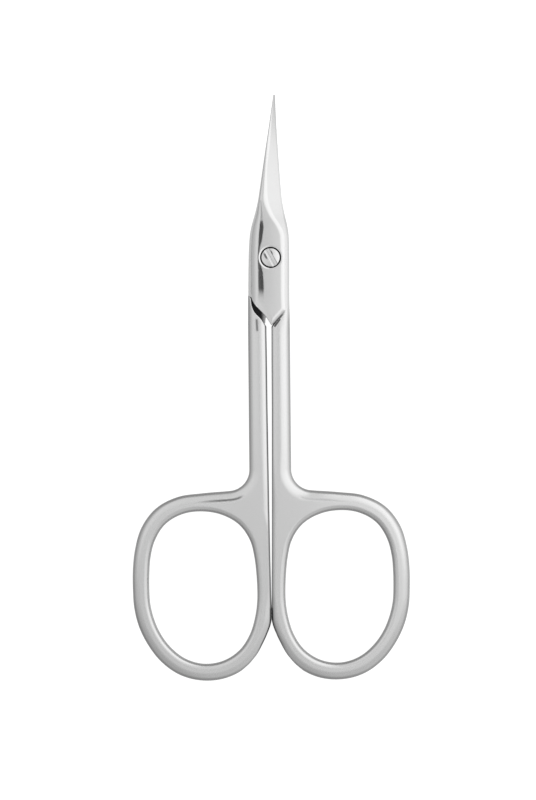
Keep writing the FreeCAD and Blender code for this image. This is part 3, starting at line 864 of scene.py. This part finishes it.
def mark_handle(mesh, half):
    """Marks painted shade in creases, along the gap and where the rings touch, and a painted reflection
    streak.
    """
    x, y, z = points_of(mesh)
    own_x = HALVES[half] * (x - HANDLE_MIDDLE)
    near = (own_x < ARM_CREASE_SPAN[-1]) & (y > SHOULDER_LEVEL - SHANK_TOP) & (z > LAP_HEIGHT)
    dark = np.zeros_like(x)
    # Painted shade in the front's creases beside the V's arm.
    if half == "front":
        dark[near] = arm_crease(own_x[near], y[near])
    else:
        # Painted dark reflection along a short streak on the back shank, with no groove under it.
        away = distance_to(np.array(BACK_PAINTED_STREAK), own_x[near], y[near])
        dark[near] = crease(away, BACK_PAINTED_STREAK_HALF_WIDTH)
    depth_share = CREASE_DEPTHS[half] / max(CREASE_DEPTHS.values())
    # Painted shade in the fold along the ring's top.
    fold = ring_crease(own_x, y) * (z > LAP_HEIGHT) * depth_share
    # Painted shade along the rim at the gap.
    rim = gap_shade(own_x, y, half) * (z > LAP_HEIGHT + GAP_RIM_ROUNDING)
    # Painted shadow where the rings touch.
    rim = np.maximum(rim, contact_shade(own_x, y))
    store_marks(mesh, skin=np.maximum(PAINTED_CREASE_DARKNESS * np.maximum(dark, fold), rim), mirror=0 * x)


def handle(half):
    """Straight sections between outline and inner line, above and below, with walls at both ends.

    Each face stands half the handle's thickness from the lap, less its drop.
    """
    side = HALVES[half]
    across = ((1 - np.cos(np.linspace(0, math.pi, SECTION_STEPS + 1))) / 2)[None, :, None]
    grids = []
    for outline, inner, open_edge in handle_sections():
        plan = outline[:, None] + (inner - outline)[:, None] * across
        x, y = plan[..., 0], plan[..., 1]
        fade = np.clip(1 - (SHOULDER_LEVEL - y) / SHOULDER_STRETCH, 0, 1) ** 2
        y = y + (shoulder_y(x) - SHOULDER_LEVEL) * fade
        joined = HANDLE_THICKNESS / 2 - handle_drop(x, y, 1)
        free = HANDLE_THICKNESS / 2 - handle_drop(x, y, 0)
        upper, lower = (joined - ARM_CREASE_DEPTH * arm_crease(x, y), free) if side > 0 else (free, joined)
        upper = upper - CREASE_DEPTHS[half] * ring_crease(x, y)
        top = grid(HANDLE_MIDDLE + side * x, y, LAP_HEIGHT + upper)
        bottom = grid(HANDLE_MIDDLE + side * x, y, LAP_HEIGHT - lower)
        grids += [top, bottom, np.array([top[:, 0], bottom[:, 0]])]
        if open_edge:
            grids.append(np.array([top[:, -1], bottom[:, -1]]))
        for end in (0, -1):
            if abs(outline[end, 1] - SHOULDER_LEVEL) < LAP_GAP:
                grids.append(np.array([top[end], bottom[end]]))
    return closed_mesh(half + "_handle", grids)


# Satin stainless: tumbled and lightly brushed, so reflections are soft and the grain hardly shows.
satin_stainless = steel("satin_tumbled_stainless", "#C1C1C1", 0.25, 0.02, 0.20, 0.0001, (1, 1, 1))

for half in HALVES:
    grip = handle(half)
    mark_handle(grip.data, half)
    grip.data.materials.append(satin_stainless)
    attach(grip, half)
    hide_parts(half + "_half")


# Pivot screw: a turned, slotted screw with a low crowned head, sunk in the front plate.
# Its journal carries the front half, and its threaded end is filed flush with the back plate.

HEAD_RADIUS = 1.5
HEAD_SEAT = 2.70
HEAD_RIM = 3.38
HEAD_CROWN = 0.12
HEAD_ROUNDING = 0.14
JOURNAL_RADIUS = 1.1
THREAD_RADIUS = 1.0
THREAD_CHAMFER = 0.06
SLOT_WIDTH = 0.95
SLOT_DEPTH = 0.38
SLOT_ANGLE = 118.0
SLOT_EDGE_ROUNDING = 0.07
SLOT_FLOOR_FILLET = 0.08
SLOT_DISH = 0.035

# Streaks of painted shade beside the slot, as places along and across the slot, half length and half width.
HEAD_SHADE_STREAKS = ((0.58, 0.63, 0.70, 0.20), (0.62, -0.56, 0.50, 0.10))
STREAK_SHADE_DARKNESS = 0.8
STREAK_FADE = (0.5, 1.1)
HEAD_STEPS = 48
ANGLE_DECIMALS = 9
ANGLE_TOLERANCE = 1e-6


def head_height(radius, across):
    """A shallow sphere cap with a rounded rim and rounded edges along the slot."""
    sphere = (HEAD_RADIUS**2 + HEAD_CROWN**2) / (2 * HEAD_CROWN)
    cap = np.sqrt(sphere**2 - radius**2) - (sphere - HEAD_CROWN)
    rim = round_drop(HEAD_RADIUS - radius, HEAD_ROUNDING)
    slot = round_drop(np.abs(across) - SLOT_WIDTH / 2, SLOT_EDGE_ROUNDING)
    return HEAD_RIM + cap - np.maximum(rim, slot)


def slot_floor(across):
    """Slightly dished bottom of the slot, with a fillet up each wall."""
    from_wall = SLOT_WIDTH / 2 - np.abs(across)
    dish = SLOT_DISH * (2 * across / SLOT_WIDTH) ** 2
    return HEAD_RIM - SLOT_DEPTH + dish + round_drop(from_wall, SLOT_FLOOR_FILLET)


def head_band(low, high, in_slot):
    """The part of the head between two chords along the slot, and the wall below its rim.

    Chord points are spread by a sine, so that they lie closer together near the rim.
    """
    start, end = math.asin(low / HEAD_RADIUS), math.asin(high / HEAD_RADIUS)
    turn = (start + end) / 2 - (end - start) / 2 * np.cos(np.linspace(0, math.pi, HEAD_STEPS))
    across = HEAD_RADIUS * np.sin(turn)[:, None]
    along = HEAD_RADIUS * np.cos(turn)[:, None] * np.sin(np.linspace(-math.pi / 2, math.pi / 2, HEAD_STEPS))
    radius = np.minimum(np.hypot(along, across), HEAD_RADIUS)
    height = slot_floor(across) + 0 * along if in_slot else head_height(radius, across)
    face = grid(along, across, height)
    walls = []
    for end in (0, -1):
        level, foot = face[:, end].copy(), face[:, end].copy()
        level[:, 2] = np.minimum(level[:, 2], slot_floor(SLOT_WIDTH / 2))
        foot[:, 2] = HEAD_SEAT
        walls.append(np.array([face[:, end], level, foot]))
    return [face] + walls


def slot_wall(place):
    """Upright wall along one side of the slot, from its floor to the crowned face."""
    chord = math.sqrt(HEAD_RADIUS**2 - place**2)
    along = chord * np.sin(np.linspace(-math.pi / 2, math.pi / 2, HEAD_STEPS))
    radius = np.minimum(np.hypot(along, place), HEAD_RADIUS)
    return np.array([grid(along, place, head_height(radius, place)), grid(along, place, slot_floor(place))])


def shaft_rings(angles):
    """Turned profile below the head: shoulder, journal, threaded end with a small chamfer."""
    shoulder = LAP_HEIGHT - LAP_GAP / 2
    profile = (
        (HEAD_RADIUS, HEAD_SEAT), (JOURNAL_RADIUS, HEAD_SEAT), (JOURNAL_RADIUS, shoulder),
        (THREAD_RADIUS, shoulder), (THREAD_RADIUS, THREAD_CHAMFER), (THREAD_RADIUS - THREAD_CHAMFER, 0.0),
        (0.0, 0.0),
    )
    return np.array([grid(r * np.cos(angles), r * np.sin(angles), z) for r, z in profile])


def slot_turn():
    """Matrix between the slot's own axes and the frame's: rows turn to the frame by it, columns back."""
    turn = math.radians(SLOT_ANGLE)
    return np.array([[math.cos(turn), math.sin(turn), 0], [-math.sin(turn), math.cos(turn), 0], [0, 0, 1]])


def pivot_screw():
    """Three bands of the head, two slot walls and the shaft, turned to the slot's angle."""
    half = SLOT_WIDTH / 2
    edge = HEAD_RADIUS
    bands = ((-edge, -half, False), (-half, half, True), (half, edge, False))
    grids = [slot_wall(-half), slot_wall(half)]
    rims = []
    for low, high, in_slot in bands:
        parts = head_band(low, high, in_slot)
        grids += parts
        rims += [parts[1][-1], parts[2][-1]]
    rim = np.vstack(rims)
    angles = np.unique(np.round(np.arctan2(rim[:, 1], rim[:, 0]), ANGLE_DECIMALS))
    angles = angles[angles > ANGLE_TOLERANCE - math.pi]
    grids.append(shaft_rings(np.append(angles, angles[0] + 2 * math.pi)))
    return closed_mesh("pivot_screw_turned", [part @ slot_turn() for part in grids])


def mark_screw(mesh):
    """Marks painted shade on the head's side down in the counterbore, and in two streaks beside the slot.
    """
    x, y, z = points_of(mesh)
    along, across, _ = slot_turn() @ (x, y, z)
    shade_streaks = np.zeros_like(x)
    # Painted shade in two streaks beside the slot.
    for place, offset, half_length, half_width in HEAD_SHADE_STREAKS:
        away = np.hypot((along - place) / half_length, (across - offset) / half_width)
        shade_streaks = np.maximum(shade_streaks, STREAK_SHADE_DARKNESS * (1 - smooth_step(*STREAK_FADE, away)))
    shade_streaks *= z > HEAD_RIM - SLOT_DEPTH / 2
    # Painted shade on the head's side, down in the counterbore.
    counterbore_shade = (np.hypot(x, y) > HEAD_RADIUS - LAP_TOLERANCE) & (z < HEAD_RIM - HEAD_ROUNDING / 2)
    store_marks(mesh, skin=np.maximum(shade_streaks, counterbore_shade), mirror=0 * x)


# Polished stainless, turned: brighter and smoother than the plates.
polished_stainless = steel("turned_polished_stainless", "#C8C8C8", 0.15, 0.02, 0.25, 0.0001, (1, 1, 1))

screw = pivot_screw()
mark_screw(screw.data)
screw.data.materials.append(polished_stainless)
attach(screw, "back")
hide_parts("pivot_screw")


# Studio: a white table lit from within, soft light all round that is brighter from the right, a soft box
# each side that only reflections see, and a long lens straight above.

FLOOR_HALF_SIDE = 3000.0
TABLE_COLOUR = "#FFFFFF"
TABLE_GLOW = 0.96
TABLE_BASE_COLOUR = "#808080"
TABLE_ROUGHNESS = 0.9
BOX_HEIGHT = 100.0
BOX_SPAN = (-70.0, 250.0)
BOX_END = (-50.0, -36.0)
BOX_COLUMNS = 60
BOX_ROWS = 40

# Soft boxes, as distance aside, brightness beside the joint, and brightness past the box's end.
RIGHT_BOX = (
    (7.5, 1.12, 1.12), (17.0, 1.38, 1.14), (28.0, 1.56, 1.18), (75.0, 1.66, 1.24), (110.0, 1.72, 1.26),
    (160.0, 1.44, 1.24), (243.0, 1.40, 1.20),
)
LEFT_BOX = (
    (7.5, 0.99, 0.98), (17.0, 1.06, 0.92), (36.0, 1.12, 0.88), (100.0, 1.15, 0.86), (160.0, 0.95, 0.82),
    (243.0, 0.72, 0.72),
)
DARK_CARD_PLACE = (-0.001, 0.016)
DARK_CARD_RADIUS = 0.032
DARK_CARD_FADE = (0.6, 1.2)
DARK_CARD_LEVEL = 0.05

# Light from all round: brightness against the direction's coordinate along each axis, from -1 to 1.
TENT_RAMPS = {
    "X": (
        (-1.0, 0.44), (-0.95, 0.47), (-0.8, 0.50), (-0.3, 0.52), (-0.08, 0.60), (0.0, 0.64), (0.1, 0.65),
        (0.2, 0.65), (0.5, 0.69), (0.83, 0.74), (0.96, 0.73), (1.0, 0.68),
    ),
    "Y": (
        (-1.0, 0.60), (-0.85, 0.74), (-0.35, 0.72), (-0.12, 0.81), (0.0, 1.0), (0.35, 0.93),
        (0.85, 0.76), (1.0, 0.60),
    ),
    "Z": ((-1.0, 0.60), (-0.1, 0.66), (0.12, 0.88), (0.3, 1.0), (1.0, 1.0)),
}
TENT_STRENGTH = 1.75
PHOTO_SCALE = 0.16
PHOTO_HEIGHT = 800
CAMERA_LENS = 400.0
CAMERA_SENSOR = 36.0
CAMERA_PLACE = (-0.628, -22.78)
CAMERA_ROLL = -0.0093
CAMERA_REACH = 100.0


def floor():
    """Flat square under the scissors."""
    side = np.array([-FLOOR_HALF_SIDE, FLOOR_HALF_SIDE])
    table = closed_mesh("table", [grid(side, side[:, None], 0.0)])
    # White acrylic lit from below: it glows evenly, so that the scissors hardly shade it.
    material = bpy.data.materials.new("lit_white_acrylic")
    material.use_nodes = True
    shader = material.node_tree.nodes["Principled BSDF"]
    shader.inputs["Base Color"].default_value = linear(TABLE_BASE_COLOUR)
    shader.inputs["Roughness"].default_value = TABLE_ROUGHNESS
    shader.inputs["Emission Color"].default_value = linear(TABLE_COLOUR)
    shader.inputs["Emission Strength"].default_value = TABLE_GLOW
    material.cycles.emission_sampling = "NONE"
    table.data.materials.append(material)
    table.visible_glossy = False
    return table


def dark_card(tree, axes):
    """Nearly nought in a small round card straight above, rising to one round it."""
    squares = []
    for axis, place in zip("XY", DARK_CARD_PLACE):
        away = node(tree, "ShaderNodeMath", [(0, axes, axis)], operation="SUBTRACT")
        away.inputs[1].default_value = place
        links = [(0, away, "Value"), (1, away, "Value")]
        squares.append(node(tree, "ShaderNodeMath", links, operation="MULTIPLY"))
    links = [(place, square, "Value") for place, square in enumerate(squares)]
    both = node(tree, "ShaderNodeMath", links, operation="ADD")
    reach = node(tree, "ShaderNodeMath", [(0, both, "Value")], operation="SQRT")
    lowered = node(tree, "ShaderNodeMath", [(0, axes, "Z")], operation="LESS_THAN")
    lowered.inputs[1].default_value = 0.0
    reach = node(tree, "ShaderNodeMath", [(0, reach, "Value"), (1, lowered, "Value")], operation="ADD")
    card = node(tree, "ShaderNodeMapRange", [("Value", reach, "Value")], interpolation_type="SMOOTHSTEP")
    start, end = DARK_CARD_FADE
    card.inputs["From Min"].default_value = DARK_CARD_RADIUS * start
    card.inputs["From Max"].default_value = DARK_CARD_RADIUS * end
    card.inputs["To Min"].default_value = DARK_CARD_LEVEL
    return card


def tent():
    """Surroundings by direction: the dark card's level times one grey ramp along each axis."""
    world = bpy.data.worlds.new("studio_tent")
    world.use_nodes = True
    tree = world.node_tree
    place = node(tree, "ShaderNodeTexCoord")
    axes = node(tree, "ShaderNodeSeparateXYZ", [("Vector", place, "Generated")])
    level = dark_card(tree, axes)
    for axis, stops in TENT_RAMPS.items():
        share = node(tree, "ShaderNodeMapRange", [("Value", axes, axis)])
        share.inputs["From Min"].default_value = -1.0
        ramp = node(tree, "ShaderNodeValToRGB", [("Fac", share, "Result")])
        elements = ramp.color_ramp.elements
        elements.remove(elements[-1])
        for index, (coordinate, brightness) in enumerate(stops):
            position = (coordinate + 1) / 2
            element = elements[0] if index == 0 else elements.new(position)
            element.position = position
            element.color = (brightness, brightness, brightness, 1)
        level = node(tree, "ShaderNodeMath", [(0, level, 0), (1, ramp, "Color")], operation="MULTIPLY")
    background = tree.nodes["Background"]
    tree.links.new(level.outputs["Value"], background.inputs["Color"])
    background.inputs["Strength"].default_value = TENT_STRENGTH
    bpy.context.scene.world = world


def soft_box(name, direction, stops):
    """Flat sheet high beside the joint; its glow follows the stops across, from one level to the other.

    The change along it comes softly before the rings. Only reflections see it.
    """
    aside = np.linspace(stops[0][0], stops[-1][0], BOX_COLUMNS)[:, None]
    along = np.linspace(*BOX_SPAN, BOX_ROWS)[None, :]
    box = closed_mesh(name, [grid(direction * aside, along, BOX_HEIGHT)])
    x, y, _ = points_of(box.data)
    level = read_rows(stops, np.abs(x))
    base = read_rows(stops, np.abs(x), 2)
    store_marks(box.data, glow=base + (level - base) * smooth_step(*BOX_END, y))
    # White cloth with lamps behind it: it glows, and has no glint of its own.
    material = bpy.data.materials.new("soft_box_cloth")
    material.use_nodes = True
    tree = material.node_tree
    tree.nodes.remove(tree.nodes["Principled BSDF"])
    glow = node(tree, "ShaderNodeAttribute", attribute_name="glow")
    emission = node(tree, "ShaderNodeEmission", [("Strength", glow, "Fac")])
    tree.links.new(emission.outputs["Emission"], tree.nodes["Material Output"].inputs["Surface"])
    material.cycles.emission_sampling = "NONE"
    box.data.materials.append(material)
    box.visible_camera = False
    box.visible_diffuse = False
    box.visible_shadow = False
    return box


def camera():
    """Long lens straight above; the scissors lie half a degree askew in the picture, so it is rolled."""
    data = bpy.data.cameras.new("camera")
    data.lens = CAMERA_LENS
    data.sensor_width = CAMERA_SENSOR
    data.clip_end = CAMERA_REACH
    seer = placed("camera", data)
    height = PHOTO_HEIGHT * PHOTO_SCALE * CAMERA_LENS / CAMERA_SENSOR + LAP_HEIGHT
    seer.location = np.array([*CAMERA_PLACE, height]) * MILLIMETRE
    seer.rotation_euler = (0, 0, CAMERA_ROLL)
    bpy.context.scene.camera = seer


floor()
soft_box("right_soft_box", 1, RIGHT_BOX)
soft_box("left_soft_box", -1, LEFT_BOX)
tent()
camera()
bpy.context.scene.view_settings.view_transform = "Standard"
